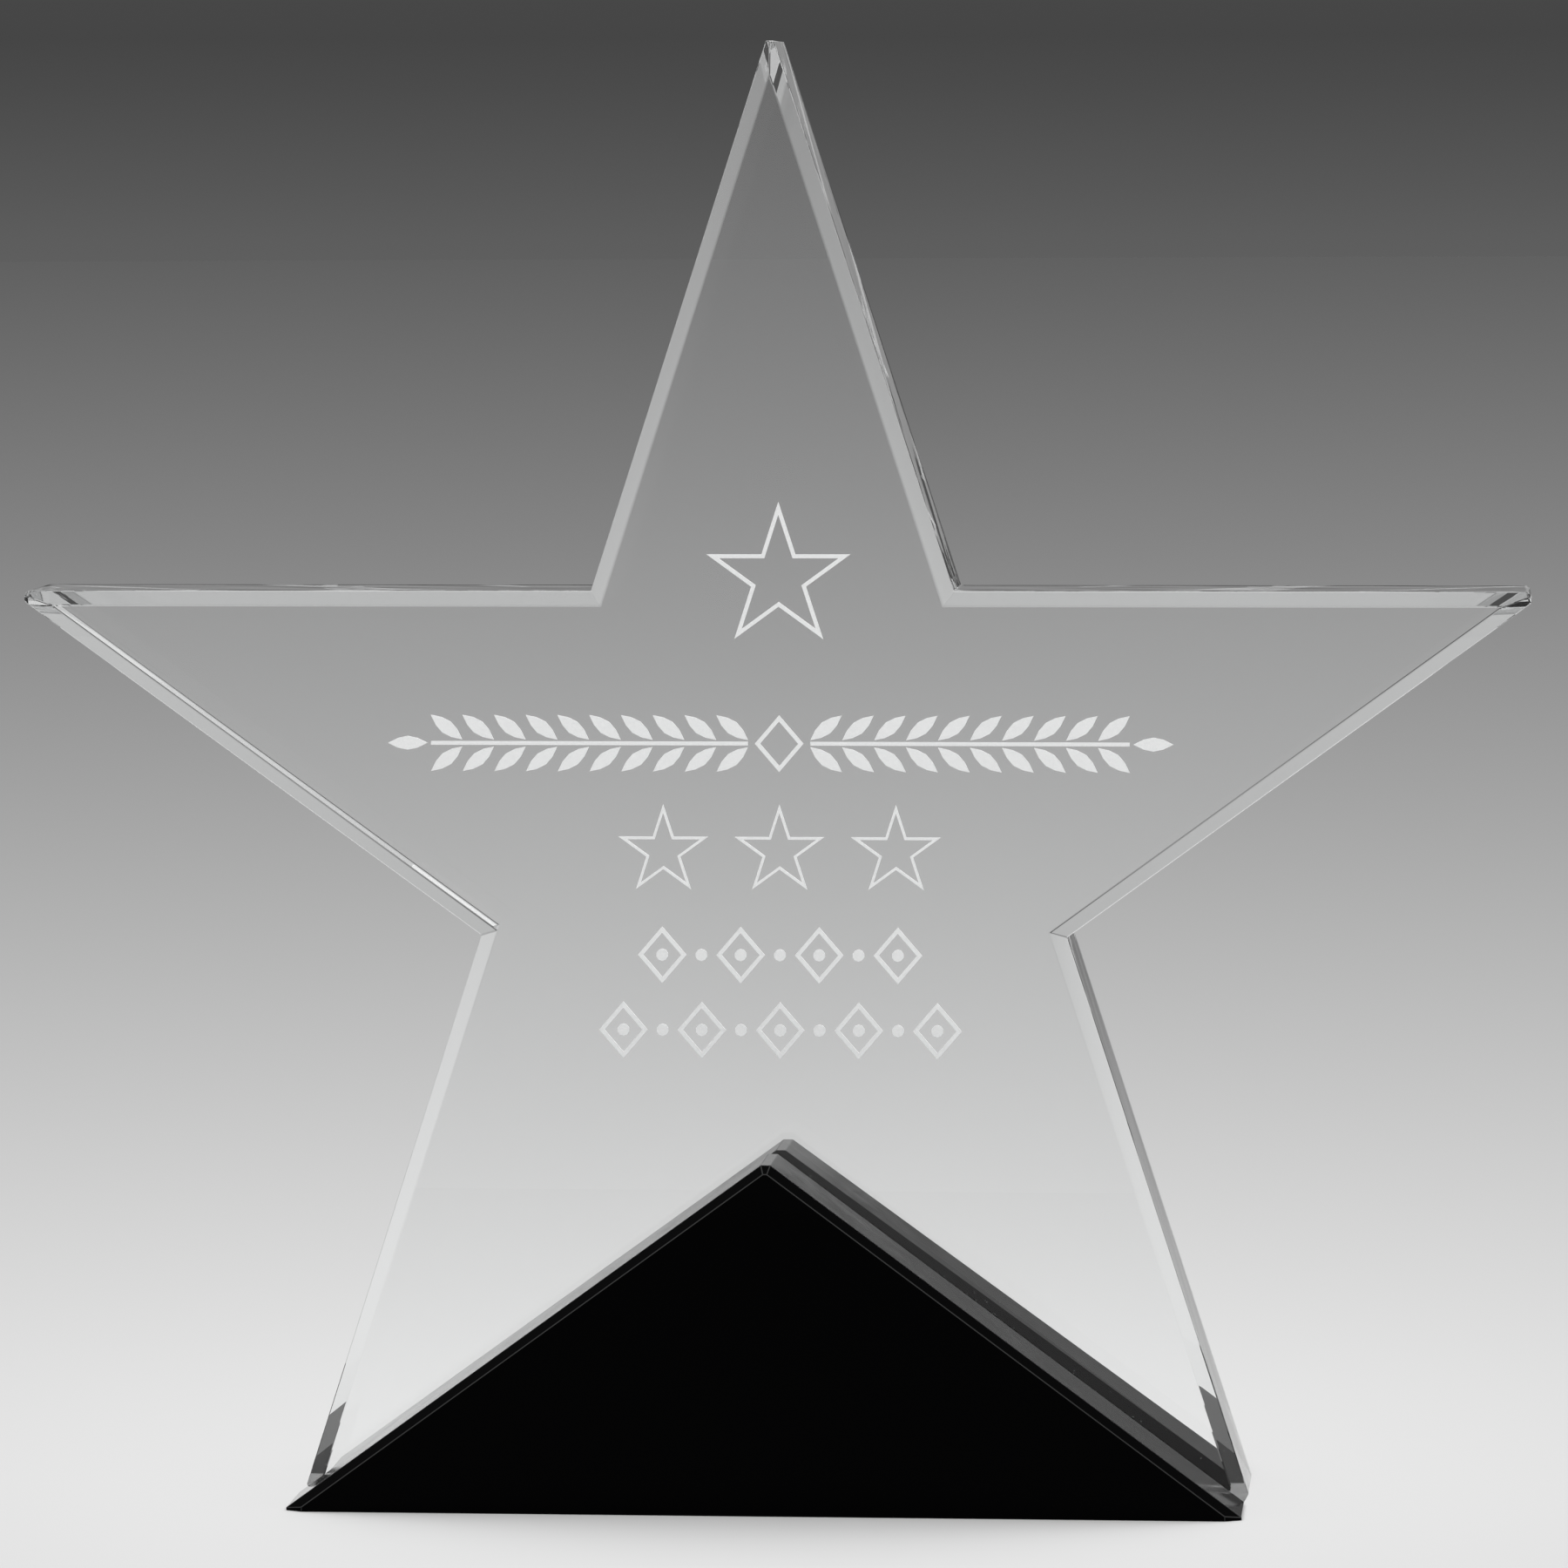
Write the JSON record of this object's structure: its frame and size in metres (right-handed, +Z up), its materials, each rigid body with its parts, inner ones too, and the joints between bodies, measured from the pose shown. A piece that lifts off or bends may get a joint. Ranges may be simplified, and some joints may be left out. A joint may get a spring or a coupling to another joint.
{
  "type": "crystal star award",
  "caption": "Free-standing clear crystal star award, engraved on its rear face, standing between black crystal triangles bonded to its front and rear.",
  "frame": {"origin": "middle of the footprint, on the surface that the award stands on", "axes": "+X to the right seen from the front, +Y from the front to the back, +Z up; the front face looks along -Y"},
  "size_m": [0.1842, 0.0404, 0.1779],
  "materials": {
    "clear_crystal": "clear optical crystal, polished faces and hand-polished edges, engraving frosted",
    "black_crystal": "opaque black crystal, high polish",
    "clear_adhesive": "clear UV-cured adhesive with fine bubbles"
  },
  "bodies": {
    "root": {"star_plate": "clear_crystal", "front_black_triangle": "black_crystal", "rear_black_triangle": "black_crystal", "front_adhesive_film": "clear_adhesive", "rear_adhesive_film": "clear_adhesive"}
  },
  "joints": []
}
